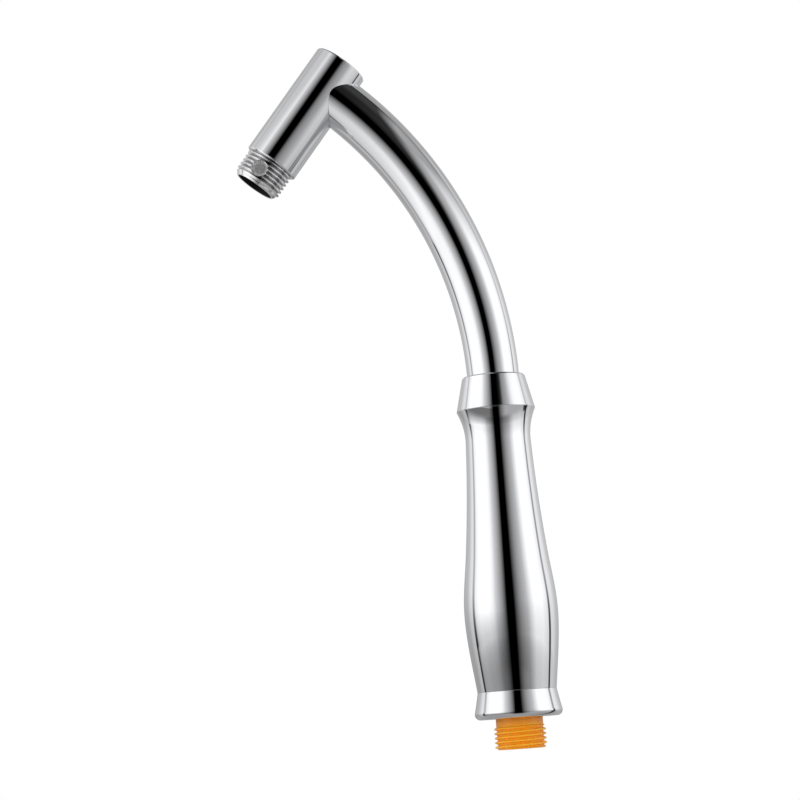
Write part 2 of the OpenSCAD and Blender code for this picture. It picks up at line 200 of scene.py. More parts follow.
def grid_piece(name, *grids, poles=False):
    """A smooth-shaded object made of one or more closed surfaces."""
    verts, polygons, count = [], [], 0
    for points in grids:
        v, faces = grid_faces(points, poles)
        polygons += [f for group in faces for f in (group + count).tolist()]
        verts.append(v)
        count += len(v)
    mesh = bpy.data.meshes.new(name)
    mesh.from_pydata(np.vstack(verts).tolist(), [], polygons)
    mesh.polygons.foreach_set("use_smooth", np.ones(len(mesh.polygons), bool))
    mesh.update()
    piece = bpy.data.objects.new(name, mesh)
    bpy.context.scene.collection.objects.link(piece)
    return piece


def corner(before, at, after, fillet):
    """Points round one corner of an outline: a circular arc tangent to both sides, and a point just
    before and after it so that the flats beside it stay flat in the shading. Seen from the arc's
    middle, its points are (start sin((1 - t) turn) + end sin(t turn)) / sin(turn)."""
    before, at, after = (np.array(p, float) for p in (before, at, after))
    back, ahead = before - at, after - at
    back_len, ahead_len = np.hypot(*back), np.hypot(*ahead)
    back, ahead = back / back_len, ahead / ahead_len
    half = math.acos(np.clip(back @ ahead, -1, 1)) / 2
    reach = min(fillet / math.tan(half), 0.45 * back_len, 0.45 * ahead_len)
    middle = at + (back + ahead) / np.hypot(*(back + ahead)) * reach / math.cos(half)
    start, end = at + back * reach - middle, at + ahead * reach - middle
    turn = math.pi - 2 * half
    t = np.linspace(0, 1, FILLET_STEPS + 1)[:, None]
    arc = middle + (np.sin((1 - t) * turn) * start + np.sin(t * turn) * end) / math.sin(turn)
    lead = at + back * min(reach + SUPPORT, 0.49 * back_len)
    trail = at + ahead * min(reach + SUPPORT, 0.49 * ahead_len)
    return np.vstack([lead, arc, trail])


def outline(*stretches):
    """A closed outline in radius and height. Each stretch is a corner (r, z, fillet) or an array of
    points on a curve, in order; corners are rounded against the points next to them."""
    def point(i, end):
        """The first point of stretch i, counted round, for end 0, and the last for end -1."""
        s = stretches[i % len(stretches)]
        return s[end] if isinstance(s, np.ndarray) else s[:2]

    parts = [s if isinstance(s, np.ndarray) else corner(point(i - 1, -1), s[:2], point(i + 1, 0), s[2])
             for i, s in enumerate(stretches)]
    return np.vstack(parts)


def subdivided(path, longest):
    """The closed outline with points added where neighbours lie further apart than longest."""
    ahead = np.roll(path, -1, 0)
    count = np.maximum(1, np.ceil(np.hypot(*(ahead - path).T) / longest)).astype(int)
    which = np.repeat(np.arange(len(path)), count)
    step = np.arange(count.sum()) - np.repeat(np.cumsum(count) - count, count)
    t = (step / count[which])[:, None]
    return path[which] * (1 - t) + ahead[which] * t


def ring_points(profile, columns=AROUND):
    """An outline of radius and height turned round the Z axis: x = r cos a, y = r sin a."""
    a = np.linspace(0, 2 * np.pi, columns, endpoint=False)
    r, z = profile[:, :1], profile[:, 1:]
    return np.stack([r * np.cos(a), r * np.sin(a), z + 0 * a], -1)


def swept(path, radius, sides):
    """A round wire along a path: at each point, a circle across the path's direction, set out from
    the level normal of the path and the vector square to both."""
    ahead = np.gradient(path, axis=0)
    ahead /= np.linalg.norm(ahead, axis=1)[:, None]
    level = np.cross(ahead, (0, 0, 1))
    level /= np.linalg.norm(level, axis=1)[:, None]
    up = np.cross(level, ahead)
    a = np.linspace(0, 2 * np.pi, sides, endpoint=False)[:, None]
    return path[:, None] + radius * (np.cos(a) * level[:, None] + np.sin(a) * up[:, None])


def at_head(points):
    """Takes points from the head's own axes (X along the arm, Z up the barrel) to the frame's."""
    return points @ np.array(HEAD_FRAME.transposed()) + np.array(head_centre)


# ---------------------------------------------------------------- outlines

def cubic_span(z, z0, r0, m0, z1, r1, m1):
    """Hermite cubic between two heights with given radii and slopes."""
    h = z1 - z0
    t = (z - z0) / h
    return ((2 * t**3 - 3 * t**2 + 1) * r0 + (t**3 - 2 * t**2 + t) * h * m0
            + (3 * t**2 - 2 * t**3) * r1 + (t**3 - t**2) * h * m1)


def grip_radius(z):
    """Radius of the grip: three cubic spans over belly and waist, then a round hollow to the edge,
    which starts a little below the neck at the angle NECK_TURN."""
    rise = edge_r - NECK_R
    hollow = ((edge_z - NECK_Z) ** 2 + rise**2) / (2 * rise)
    start_z = NECK_Z - hollow * math.sin(NECK_TURN)
    start_r = NECK_R + hollow * (1 - math.cos(NECK_TURN))
    r = np.where(z < BELLY_Z,
                 cubic_span(z, crease_z, CREASE_R, CREASE_SLOPE, BELLY_Z, belly_r, 0),
                 cubic_span(z, BELLY_Z, belly_r, 0, WAIST_Z, WAIST_R, WAIST_SLOPE))
    last = cubic_span(z, WAIST_Z, WAIST_R, WAIST_SLOPE, start_z, start_r, -math.tan(NECK_TURN))
    r = np.where(z > WAIST_Z, last, r)
    across = np.clip(z - NECK_Z, -hollow, hollow)
    return np.where(z > start_z, NECK_R + hollow - np.sqrt(hollow**2 - across**2), r)


def curve(radius, z0, z1, step=0.6):
    """Points (radius(z), z) from z0 to z1 about step apart."""
    z = np.linspace(z0, z1, max(2, int(abs(z1 - z0) / step) + 1))
    return np.stack([radius(z), z], -1)


# ---------------------------------------------------------------- pieces

def make_grip():
    """The turned sleeve: the swelling outside, the nose that screws into the foot ring, the hollow
    inside and the counterbore for the arm's ferrule."""
    bore = arm_r + TAIL_GAP
    inside = curve(lambda z: np.maximum(bore, grip_radius(z) - WALL),
                   ferrule_z - 0.5, CAVITY_Z, step=2.0)
    profile = outline(
        curve(grip_radius, crease_z + 0.4, edge_z - 0.4),
        (edge_r, edge_z, 0.10),
        (ferrule_r + FIT_GAP, edge_z, 0.15),
        (ferrule_r + FIT_GAP, ferrule_z, 0.1),
        inside,
        (CORE_R + FIT_GAP, CORE_BORE_Z, 0.5),
        (CORE_R + FIT_GAP, grip_z, 0.2),
        (NOSE_R - FIT_GAP, grip_z, 0.3),
        (NOSE_R - FIT_GAP, crease_z, 0.1),
        (CREASE_R, crease_z, 0.12))
    return grid_piece("grip_sleeve", ring_points(profile))


def make_foot_ring():
    """The flared ring at the foot: a rounded lip, a flare up to the crease that is hollow by
    4 h t (1 - t), and the threaded bore."""
    turn = math.atan((lip_r - CREASE_R + 4 * FLARE_HOLLOW) / (crease_z - lip_z - LIP_ROUND))
    a = np.linspace(-math.pi / 2, turn, 24)
    lip = np.stack([lip_r - LIP_ROUND + LIP_ROUND * np.cos(a),
                    lip_z + LIP_ROUND + LIP_ROUND * np.sin(a)], -1)
    t = np.linspace(0, 0.985, 14)[1:, None]          # stops short of the crease's corner
    flare = lip[-1] * (1 - t) + np.array([CREASE_R, crease_z]) * t
    flare[:, :1] -= 4 * FLARE_HOLLOW * t * (1 - t)
    profile = outline(
        lip, flare,
        (CREASE_R, crease_z, 0.12),
        (NOSE_R, crease_z, 0.1),
        (NOSE_R, lip_z + FOOT_FLOOR, 0.1),
        (HOLE_R, lip_z + FOOT_FLOOR, 0.2),
        (HOLE_R, lip_z, 0.35))
    return grid_piece("foot_ring", ring_points(subdivided(profile, 1.0)))


def make_collar():
    """The cone that closes the grip, with a nearly level crown that meets the arm."""
    top = edge_z + COLLAR_H
    recess = ferrule_top + 1.2 * (ferrule_r - arm_r)
    profile = outline(
        (edge_r, edge_z, 0.10),
        (COLLAR_TOP_R, top, 0.35),
        (COLLAR_TOP_R - COLLAR_CORNER, top + COLLAR_CORNER, 0.35),
        (arm_r + PASS_GAP, crown_z, 0.08),
        (arm_r + PASS_GAP, recess, 0.1),
        (ferrule_r + FIT_GAP, recess, 0.1),
        (ferrule_r + FIT_GAP, edge_z, 0.1))
    return grid_piece("collar_cone", ring_points(subdivided(profile, 1.0)))


def arm_point(r, angle, s):
    """A point of the arm's surface: radius r from its centre line, angle round it from the outside of
    the bend, and length s along it from the head's axis. Past the bend the tube runs straight down."""
    turn = np.minimum(s, BEND_LEN) / BEND_R
    straight = np.maximum(s - BEND_LEN, 0)
    out = BEND_R + r * np.cos(angle)
    x, y, z = out * np.sin(turn), r * np.sin(angle), out * np.cos(turn) - BEND_R
    points = np.stack(np.broadcast_arrays(x, y, z), -1)
    down = np.array([math.cos(BEND_ANGLE), 0, -math.sin(BEND_ANGLE)])
    return at_head(points + straight[..., None] * down)


def arm_start(r, angle, barrel):
    """Length s at which the line at that radius and angle leaves a barrel of radius barrel: on the
    bend, x^2 + y^2 = barrel^2 gives sin(s / R) = sqrt(barrel^2 - r^2 sin^2) / (R + r cos)."""
    reach = np.sqrt(barrel**2 - (r * np.sin(angle)) ** 2)
    return BEND_R * np.arcsin(reach / (BEND_R + r * np.cos(angle)))


def make_arm():
    """The bent tube, its head end cut to a saddle that fits the barrel, with a small rounded edge. The
    rows run from that edge down the outside, round the tail's rim and back up the inside."""
    angle = np.linspace(0, 2 * np.pi, AROUND, endpoint=False)
    barrel = head_r + FIT_GAP
    total = BEND_LEN + BEND_Z - tail_z
    edge = 0.25
    inner = arm_r - ARM_WALL

    t = np.linspace(np.pi / 2, 0, FILLET_STEPS + 1)[:, None]
    saddle_r = arm_r - edge * (1 - np.cos(t))
    saddle = arm_start(saddle_r, angle, barrel) + edge * (1 - np.sin(t))
    first = arm_start(arm_r, angle, barrel) + edge + SUPPORT
    shaft = first + np.linspace(0, 1, ARM_ROWS)[:-1, None] * (total - edge - first)
    rim_r = np.array([arm_r, arm_r - edge, inner + edge, inner])[:, None]
    rim = np.array([total - edge, total, total, total - edge])[:, None]
    last = arm_start(inner, angle, barrel)
    hollow = last + np.linspace(1, 0, ARM_HOLLOW_ROWS)[1:, None] * (total - edge - last)
    stretches = ((saddle_r, saddle), (arm_r, shaft), (rim_r, rim), (inner, hollow))
    return grid_piece("arm", np.vstack([arm_point(r, angle, s) for r, s in stretches]))


def make_barrel():
    """The head's barrel: a round tube with chamfered rims, counterbored at both ends."""
    cap_seat = HEAD_ABOVE - CAP_H - WASHER_H
    shank_seat = SHANK_LEN + WASHER_H - HEAD_BELOW
    profile = outline(
        (head_r, HEAD_RIM - HEAD_BELOW, 0.15),
        (head_r, HEAD_ABOVE - HEAD_RIM, 0.15),
        (head_r - HEAD_RIM, HEAD_ABOVE, 0.12),
        (cap_r + FIT_GAP, HEAD_ABOVE, 0.08),
        (cap_r + FIT_GAP, cap_seat, 0.05),
        (HEAD_BORE_R, cap_seat, 0.1),
        (HEAD_BORE_R, shank_seat, 0.1),
        (shank_r + FIT_GAP, shank_seat, 0.05),
        (shank_r + FIT_GAP, -HEAD_BELOW, 0.08),
        (head_r - HEAD_RIM, -HEAD_BELOW, 0.12))
    return grid_piece("barrel", at_head(ring_points(subdivided(profile, 1.2))))


def make_cap():
    """The flat disc that plugs the barrel's upper end, with rounded rims, closed at two poles."""
    low = HEAD_ABOVE - CAP_H
    edge = corner((0, low), (cap_r, low), (cap_r, HEAD_ABOVE), 0.2)
    top = corner((cap_r, low), (cap_r, HEAD_ABOVE), (0, HEAD_ABOVE), 0.3)
    hub_r, flat_r = 0.3, cap_r - 0.6                 # round the pole, and short of the rims
    under = np.stack([np.linspace(hub_r, flat_r, 8), np.full(8, low)], -1)
    over = np.stack([np.linspace(flat_r, hub_r, 24), np.full(24, HEAD_ABOVE)], -1)
    profile = np.vstack([under, edge, top, over])
    return grid_piece("barrel_cap", at_head(ring_points(profile)), poles=True)


def thread_radius(z, angle, phase):
    """Radius of a right-handed pipe thread at height z and angle round the axis. The ridge's crest
    sits where z / pitch - angle / turn - phase is whole; between a crest and a root that are each a
    sixth of the pitch, the flanks run straight, a little rounded at both ends."""
    share = (z / PITCH - angle / (2 * np.pi) - phase) % 1
    height = 2 * np.abs(share - 0.5)                 # 1 on the crest, 0 in the root
    land = 1 / 6
    h = np.clip((height - land) / (1 - 2 * land), 0, 1)
    return root_r + DEPTH * (0.5 * h + 0.5 * h * h * (3 - 2 * h))


def threaded(z, angle, tip, run_out, neck_r, phase):
    """Radius of a threaded stub: the thread, cut down to the cone of the tip, and fading into a neck
    over half a turn below run_out."""
    tip_r, tip_h = tip
    cone = tip_r + (thread_r - tip_r) * z / tip_h
    r = np.minimum(thread_radius(z, angle, phase), cone)
    fade = np.clip((run_out - z) / (PITCH / 2), 0, 1)
    return neck_r + (r - neck_r) * fade * fade * (3 - 2 * fade)


def round_flat(r, z, angle, middle):
    """Cuts a round flat into the outlet, square to the radius at the angle middle, with a low disc
    standing in it: inside the circle, the plane at distance d gives r = d / cos(angle from middle)."""
    off = (angle - middle + np.pi) % (2 * np.pi) - np.pi
    near = np.clip(off, -1, 1)
    out = np.hypot(FLAT_OUT * np.tan(near), z - FLAT_UP)
    plane = (FLAT_OUT + BOSS_RISE * (out < BOSS_D / 2)) / np.cos(near)
    return np.where((out < FLAT_D / 2) & (np.abs(off) < 1), plane, r)


def stub(r, z, angle, *corners):
    """Points of a turned piece whose first stretch has its own radius at each row and angle, and whose
    rest is a plain outline: x = r cos a, y = r sin a. The outline's last corner ends partway round
    its fillet, where the first stretch begins."""
    rest = outline(*corners)[:-(FILLET_STEPS + 1) // 2]
    r = np.vstack([r, np.repeat(rest[:, :1], len(angle), 1)])
    z = np.vstack([z, rest[:, 1:]])
    return np.stack([r * np.cos(angle), r * np.sin(angle), z + 0 * angle], -1)


def make_outlet():
    """The threaded outlet: tapered tip, helical thread with a round flat in it, and the plain shank
    inside the barrel. Heights are measured from its end face up into the barrel. The columns lie
    closer together round the flat, at angles from it of pi (even t + (1 - even) t^3)."""
    even = 0.62
    spread = np.linspace(-1, 1, OUTLET_COLUMNS, endpoint=False)
    angle = flat_angle + np.pi * (even * spread + (1 - even) * spread**3)
    z = np.linspace(0.0, OUTLET_LEN, OUTLET_ROWS)[:, None]
    r = threaded(z, angle, OUTLET_TIP, OUTLET_LEN + 0.2, root_r, OUTLET_PHASE)
    r = round_flat(r, z, angle, flat_angle)
    top = OUTLET_LEN + SHANK_LEN
    points = stub(
        r, z, angle,
        (shank_r, OUTLET_LEN + 0.02, 0.01),
        (shank_r, top, 0.3),
        (outlet_r, top, 0.3),
        (outlet_r, 0.0, 0.3),
        (OUTLET_TIP[0], 0.0, 0.05))
    points[..., 2] -= HEAD_BELOW + OUTLET_LEN
    return grid_piece("outlet", at_head(points))


def make_core():
    """The orange core: threaded spigot, neck, flange, body, and the stepped bore for screen, valve and
    water pipe."""
    angle = np.linspace(0, 2 * np.pi, AROUND, endpoint=False)
    z = np.linspace(0.0, lip_z, SPIGOT_ROWS)[:, None]
    r = threaded(z, angle, INLET_TIP, SPIGOT_THREAD + 0.4, SPIGOT_NECK_R, INLET_PHASE)
    flange_z = lip_z + FOOT_FLOOR
    points = stub(
        r, z, angle,
        (SPIGOT_NECK_R, flange_z, 0.2),
        (flange_r, flange_z, 0.3),
        (flange_r, gasket_z, 0.3),
        (CORE_R, gasket_z, 0.2),
        (CORE_R, core_top, 0.4),
        (pipe_r + FIT_GAP, core_top, 0.6),
        (pipe_r + FIT_GAP, pipe_z, 0.1),
        (WATERWAY_R, pipe_z, 0.2),
        (WATERWAY_R, STOP_Z, 0.2),
        (VALVE_R, STOP_Z, 0.1),
        (VALVE_R, SCREEN_Z, 0.1),
        (screen_rim_r + FIT_GAP, SCREEN_Z, 0.1),
        (screen_rim_r + FIT_GAP, 0.0, 0.25),
        (INLET_TIP[0], 0.0, 0.05))
    return grid_piece("inlet_spigot", points)


def make_screen():
    """The inlet's dirt screen: a rolled rim and wires woven over and under each other. Wire i of one
    set lies at i steps and rises and falls as cos(pi (s / step + i)); the other set is opposite."""
    rim_in, rim_round = VALVE_R - 0.5, 0.35
    rim = outline(
        (screen_rim_r, screen_low, rim_round),
        (screen_rim_r, screen_high, rim_round),
        (rim_in, screen_high, rim_round),
        (rim_in, screen_low, rim_round))
    wires = []
    mesh_r = rim_in + 0.3                            # the wires end inside the rim
    level = (screen_low + screen_high) / 2
    count = int(mesh_r / SCREEN_STEP)
    for i in range(-count, count + 1):
        across = i * SCREEN_STEP
        reach = math.sqrt(mesh_r**2 - across**2)
        s = np.linspace(-reach, reach, 4 * int(2 * reach / SCREEN_STEP) + 5)
        wave = SCREEN_WIRE_R * np.cos(np.pi * (s / SCREEN_STEP + i))
        for path in ([0 * s + across, s, level + wave], [s, 0 * s + across, level - wave]):
            wires.append(swept(np.stack(path, -1), SCREEN_WIRE_R, sides=6))
    return (grid_piece("screen_rim", ring_points(rim, columns=96)),
            grid_piece("screen_wires", *wires, poles=True))


def make_spring():
    """The check valve's spring: a round wire on the helix x = R cos a, y = R sin a, which climbs
    1 + 2 steeper times as fast between its end coils as along them, so that these lie flatter."""
    low, high = spring_low + WIRE_R, spring_high - WIRE_R
    turns = np.linspace(0, SPRING_TURNS, 48 * SPRING_TURNS + 1)
    end_coil, steeper = 0.75, 0.35
    climb = turns + steeper * (np.abs(turns - end_coil) - np.abs(turns - SPRING_TURNS + end_coil))
    climb = (climb - climb[0]) / (climb[-1] - climb[0])
    a = 2 * np.pi * turns
    path = np.stack([COIL_R * np.cos(a), COIL_R * np.sin(a), low + (high - low) * climb], -1)
    return grid_piece("valve_spring", swept(path, WIRE_R, sides=12), poles=True)


# ---------------------------------------------------------------- finishes

def finish_nodes(name):
    """A new material with its node tree, principled shader and object coordinates."""
    material = bpy.data.materials.new(name)
    material.use_nodes = True
    tree = material.node_tree
    shader = tree.nodes["Principled BSDF"]
    coords = tree.nodes.new("ShaderNodeTexCoord").outputs["Object"]
    return material, tree, shader, coords


def join(tree, socket, value):
    """Sets a socket from another socket or a constant."""
    if isinstance(value, bpy.types.NodeSocket):
        tree.links.new(value, socket)
    else:
        socket.default_value = value


def calc(tree, operation, *values):
    """A math node over sockets or plain numbers."""
    node = tree.nodes.new("ShaderNodeMath")
    node.operation = operation
    for socket, value in zip(node.inputs, values):
        join(tree, socket, value)
    return node.outputs["Value"]


def vector(tree, operation, output, *values):
    """A vector node over sockets or constant vectors."""
    node = tree.nodes.new("ShaderNodeVectorMath")
    node.operation = operation
    for socket, value in zip(node.inputs, values):
        join(tree, socket, value)
    return node.outputs[output]


def noise(tree, coords, scale, detail=3.0, stretch=(1, 1, 1)):
    """Noise over the object's coordinates, scale in cycles per metre along each axis."""
    mapping = tree.nodes.new("ShaderNodeMapping")
    mapping.inputs["Scale"].default_value = stretch
    texture = tree.nodes.new("ShaderNodeTexNoise")
    texture.inputs["Scale"].default_value = scale
    texture.inputs["Detail"].default_value = detail
    tree.links.new(coords, mapping.inputs["Vector"])
    tree.links.new(mapping.outputs["Vector"], texture.inputs["Vector"])
    return texture.outputs["Fac"]


def ramp(tree, value, low, high, from_low=0.35, from_high=0.65):
    """Maps a value linearly from from_low..from_high, as a rule the reach of noise, to low..high."""
    node = tree.nodes.new("ShaderNodeMapRange")
    for key, number in (("Value", value), ("From Min", from_low), ("From Max", from_high),
                        ("To Min", low), ("To Max", high)):
        join(tree, node.inputs[key], number)
    return node.outputs["Result"]


def rises(tree, value, start, end):
    """0 where the value is at start and before, and 1 at end and past it."""
    return ramp(tree, value, 0, 1, start, end)


def falls(tree, value, start, end):
    """1 where the value is at start and before, and 0 at end and past it."""
    return ramp(tree, value, 1, 0, start, end)


def rest_of(tree, share):
    """1 - share."""
    return calc(tree, "SUBTRACT", 1, share)


def blend(tree, low, high, share):
    """low + (high - low) * share."""
    return calc(tree, "MULTIPLY_ADD", calc(tree, "SUBTRACT", high, low), share, low)


def times(tree, *values):
    """The product of all the values."""
    product = values[0]
    for value in values[1:]:
        product = calc(tree, "MULTIPLY", product, value)
    return product


def tint(tree, value, dark, light):
    """Mixes two colours, each a constant or a socket, by a value."""
    node = tree.nodes.new("ShaderNodeMix")
    node.data_type = "RGBA"
    for key, colour in (("A", dark), ("B", light)):
        join(tree, node.inputs[key], (*colour, 1) if isinstance(colour, tuple) else colour)
    tree.links.new(value, node.inputs["Factor"])
    return node.outputs["Result"]


def grained(tree, grain, dark, light):
    """A colour between two that follows the grain."""
    return tint(tree, ramp(tree, grain, 0, 1), dark, light)


def bump(tree, shader, height, strength, distance):
    """Bumps the shader's normal by a height."""
    node = tree.nodes.new("ShaderNodeBump")
    node.inputs["Strength"].default_value = strength
    node.inputs["Distance"].default_value = distance
    tree.links.new(height, node.inputs["Height"])
    tree.links.new(node.outputs["Normal"], shader.inputs["Normal"])


def chrome_plate(name="chrome_plate", rough=(0.02, 0.045)):
    """Chrome with a faint waviness from the buffing wheel: mirror polish, or satin where rougher."""
    material, tree, shader, coords = finish_nodes(name)
    shader.inputs["Metallic"].default_value = 1
    plate = grained(tree, noise(tree, coords, 900, 2), (0.800, 0.805, 0.820), (0.815, 0.820, 0.838))
    tree.links.new(plate, shader.inputs["Base Color"])
    tree.links.new(ramp(tree, noise(tree, coords, 260), *rough), shader.inputs["Roughness"])
    bump(tree, shader, noise(tree, coords, 40, 1), 0.02, 0.0003)
    return material


def plated_thread():
    """Machined, plated thread: bright, with fine grain, and painted darker in the roots above the tip's
    cone as painted shade in the grooves; the round flat is matt grey with a lighter rim, and the bore
    is painted near black as painted shade inside the hole. The flat is found by the distance from its
    middle, the bore and the roots by the distance from the axis, |(p - tip) x axis|, and the cone by
    the height above the tip, (p - tip) . axis."""
    material, tree, shader, coords = finish_nodes("plated_thread")
    shader.inputs["Metallic"].default_value = 1
    grain = noise(tree, coords, 1500, 3)
    plate = grained(tree, grain, (0.84, 0.84, 0.85), (0.92, 0.92, 0.93))
    matt = grained(tree, grain, (0.42, 0.425, 0.43), (0.66, 0.665, 0.67))
    rim = grained(tree, grain, (0.66, 0.66, 0.67), (0.90, 0.90, 0.91))
    middle = at_head(np.array([FLAT_OUT * math.cos(flat_angle), FLAT_OUT * math.sin(flat_angle),
                               FLAT_UP - HEAD_BELOW - OUTLET_LEN])) * MM
    away = vector(tree, "DISTANCE", "Value", coords, tuple(middle))
    inner = falls(tree, away, BOSS_D / 2 * MM, (BOSS_D / 2 + 0.15) * MM)
    outer = falls(tree, away, (FLAT_D / 2 + 0.05) * MM, (FLAT_D / 2 + 0.2) * MM)
    from_tip = vector(tree, "SUBTRACT", "Vector", coords, tuple(outlet_tip_end * MM))
    from_axis = vector(tree, "LENGTH", "Value",
                       vector(tree, "CROSS_PRODUCT", "Vector", from_tip, tuple(outlet_down)))
    bore = falls(tree, from_axis, (outlet_r + 0.05) * MM, (outlet_r + 0.25) * MM)
    above_tip = vector(tree, "DOT_PRODUCT", "Value", from_tip, tuple(head_up))
    cone = falls(tree, above_tip, OUTLET_TIP[1] * MM, (OUTLET_TIP[1] + 0.3) * MM)
    # painted shade in the thread's roots: below the ridge the colour turns dark grey (0.30), except on
    # the tip's cone
    ridge = rises(tree, from_axis, (root_r + 0.02) * MM, (root_r + 0.38) * MM)
    thread = tint(tree, calc(tree, "MAXIMUM", cone, ridge), (0.30, 0.30, 0.31), plate)
    colour = tint(tree, inner, tint(tree, outer, thread, rim), matt)
    # painted shade inside the bore: the hole's wall is painted near black (0.05)
    tree.links.new(tint(tree, bore, colour, (0.05, 0.05, 0.055)), shader.inputs["Base Color"])
    polish = ramp(tree, noise(tree, coords, 700), 0.03, 0.08)
    dull = times(tree, calc(tree, "MAXIMUM", outer, bore), 0.55)
    tree.links.new(calc(tree, "MAXIMUM", polish, dull), shader.inputs["Roughness"])
    bump(tree, shader, times(tree, grain, ramp(tree, outer, 0.15, 1, 0, 1)), 0.4, 0.0001)
    return material


def orange_plastic():
    """Moulded orange plastic, semi-gloss, faintly mottled, with painted shade: darker in the thread's
    roots, and darker and redder in the neck above the thread, under the foot ring. The roots are found
    by the distance from the axis, |(x, y)|."""
    material, tree, shader, coords = finish_nodes("orange_plastic")
    split = tree.nodes.new("ShaderNodeSeparateXYZ")
    tree.links.new(coords, split.inputs["Vector"])
    mottle = ramp(tree, noise(tree, coords, 220, 2), 0, 1)
    from_axis = vector(tree, "LENGTH", "Value", vector(tree, "MULTIPLY", "Vector", coords, (1, 1, 0)))
    # painted shade in the thread's roots: towards the root the orange is painted a deeper, darker tone
    crest = rises(tree, from_axis, root_r * MM, (root_r + 0.7 * DEPTH) * MM)
    ridge = tint(tree, mottle, (0.95, 0.43, 0.022), (0.98, 0.46, 0.026))
    thread = tint(tree, crest, (0.87, 0.33, 0.008), ridge)
    # painted shade in the neck under the foot ring: a darker, redder orange that takes over above the
    # thread
    neck = tint(tree, mottle, (0.72, 0.23, 0.006), (0.76, 0.25, 0.008))
    height = rises(tree, split.outputs["Z"], SPIGOT_THREAD * MM, lip_z * MM)
    tree.links.new(tint(tree, height, thread, neck), shader.inputs["Base Color"])
    tree.links.new(ramp(tree, noise(tree, coords, 500), 0.30, 0.38), shader.inputs["Roughness"])
    shader.inputs["Subsurface Weight"].default_value = 0.35
    shader.inputs["Subsurface Radius"].default_value = (0.003, 0.0012, 0.0003)
    shader.inputs["Subsurface Scale"].default_value = 0.5
    bump(tree, shader, noise(tree, coords, 900, 2), 0.03, 0.0001)
    return material


def plain_finish(name, metallic, detail, relief, dark, light, rough, grain_scale, stretch):
    """A finish whose colour, roughness and relief all follow one grain."""
    material, tree, shader, coords = finish_nodes(name)
    shader.inputs["Metallic"].default_value = metallic
    grain = noise(tree, coords, grain_scale, detail, stretch)
    tree.links.new(grained(tree, grain, dark, light), shader.inputs["Base Color"])
    tree.links.new(ramp(tree, grain, *rough), shader.inputs["Roughness"])
    bump(tree, shader, grain, relief, 0.0001)
    return material


def metal(name, dark, light, rough, grain_scale, stretch=(1, 1, 1)):
    """A plain worked metal, its grain stretched by the tool."""
    return plain_finish(name, 1, 4, 0.2, dark, light, rough, grain_scale, stretch)


def soft(name, dark, light, rough, grain_scale):
    """Rubber or acetal: no metal in it, a fine moulded grain."""
    return plain_finish(name, 0, 3, 0.3, dark, light, rough, grain_scale, (1, 1, 1))


finishes = {
    "chrome": chrome_plate(),
    "thread_metal": plated_thread(),
    "orange_plastic": orange_plastic(),
    "brass": metal("turned_brass", (0.62, 0.44, 0.17), (0.80, 0.62, 0.30), (0.18, 0.34), 900, (1, 1, 6)),
    "copper": metal("drawn_copper", (0.62, 0.30, 0.18), (0.82, 0.46, 0.32), (0.20, 0.38), 500, (6, 6, 1)),
    "rubber": soft("black_nitrile", (0.012, 0.012, 0.013), (0.03, 0.03, 0.032), (0.5, 0.75), 1800),
    "white_acetal": soft("white_acetal", (0.74, 0.73, 0.68), (0.84, 0.83, 0.79), (0.35, 0.5), 900),
    "stainless": metal("stainless_wire", (0.50, 0.51, 0.52), (0.72, 0.73, 0.74), (0.15, 0.3), 1600),
}


def dress(piece, slot, body, *replaced, finish=None):
    """Gives a piece that slot's finish, or one of its own, hangs it on its body and hides the nodes
    that it replaces."""
    piece.data.materials.append(finish or finishes[slot])
    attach(piece, body)
    if replaced:
        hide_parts(*replaced)
    return piece


for subpart in frame["record"]["subparts"]:
    node = nodes[subpart["node"]]
    node.data.materials.clear()
    node.data.materials.append(finishes[subpart["material_slot"]])

dress(make_grip(), "chrome", HANDSET, "grip")
dress(make_foot_ring(), "chrome", HANDSET, "base_ring")
dress(make_collar(), "chrome", HANDSET, "collar")
dress(make_arm(), "chrome", HANDSET, "arm_tube")
dress(make_barrel(), "chrome", HANDSET, "head_barrel")
dress(make_cap(), "chrome", HANDSET, "head_cap", finish=chrome_plate("satin_chrome", (0.36, 0.46)))
dress(make_outlet(), "thread_metal", HANDSET, "outlet_nipple")
dress(make_core(), "orange_plastic", HANDSET, "inlet_core")
for part in make_screen():
    dress(part, "stainless", HANDSET, "inlet_screen")
spring = dress(make_spring(), "stainless", HANDSET, "check_valve_spring")
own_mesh(spring)


# ---------------------------------------------------------------- camera, floor and light

def aim(camera, at, target, roll):
    """Puts the camera at a point, looking at another, turned by roll about the line of sight."""
    forward = (Vector(target) - Vector(at)).normalized()
    side = forward.cross(Vector((0, 0, 1))).normalized()
    up = side.cross(forward)
    right = math.cos(roll) * side + math.sin(roll) * up
    top = -math.sin(roll) * side + math.cos(roll) * up
    camera.matrix_world = Matrix.Translation(at) @ Matrix((right, top, -forward)).transposed().to_4x4()


def make_camera():
    """The camera a metre in front of the wand, at the height of its foot, looking up at its middle."""
    data = bpy.data.cameras.new("camera")
    data.sensor_width = 36
    data.lens = CAMERA_LENS
    data.clip_start, data.clip_end = 0.05, 50
    camera = bpy.data.objects.new("camera", data)
    bpy.context.scene.collection.objects.link(camera)
    aim(camera, CAMERA_AT, CAMERA_TARGET, CAMERA_ROLL)
    bpy.context.scene.camera = camera


def by_azimuth(tree, x, y, stops):
    """A value read off stops of azimuth in degrees (0 in front, positive to +X) and value."""
    angle = calc(tree, "ARCTAN2", x, calc(tree, "MULTIPLY", y, -1))
    node = tree.nodes.new("ShaderNodeValToRGB")
    marks = node.color_ramp.elements
    marks.remove(marks[1])
    for i, (degrees, value) in enumerate(stops):
        place = (degrees + 180) / 360
        mark = marks.new(place) if i else marks[0]
        mark.position = place
        mark.color = (value, value, value, 1)
    tree.links.new(rises(tree, angle, -math.pi, math.pi), node.inputs["Fac"])
    return node.outputs["Color"]


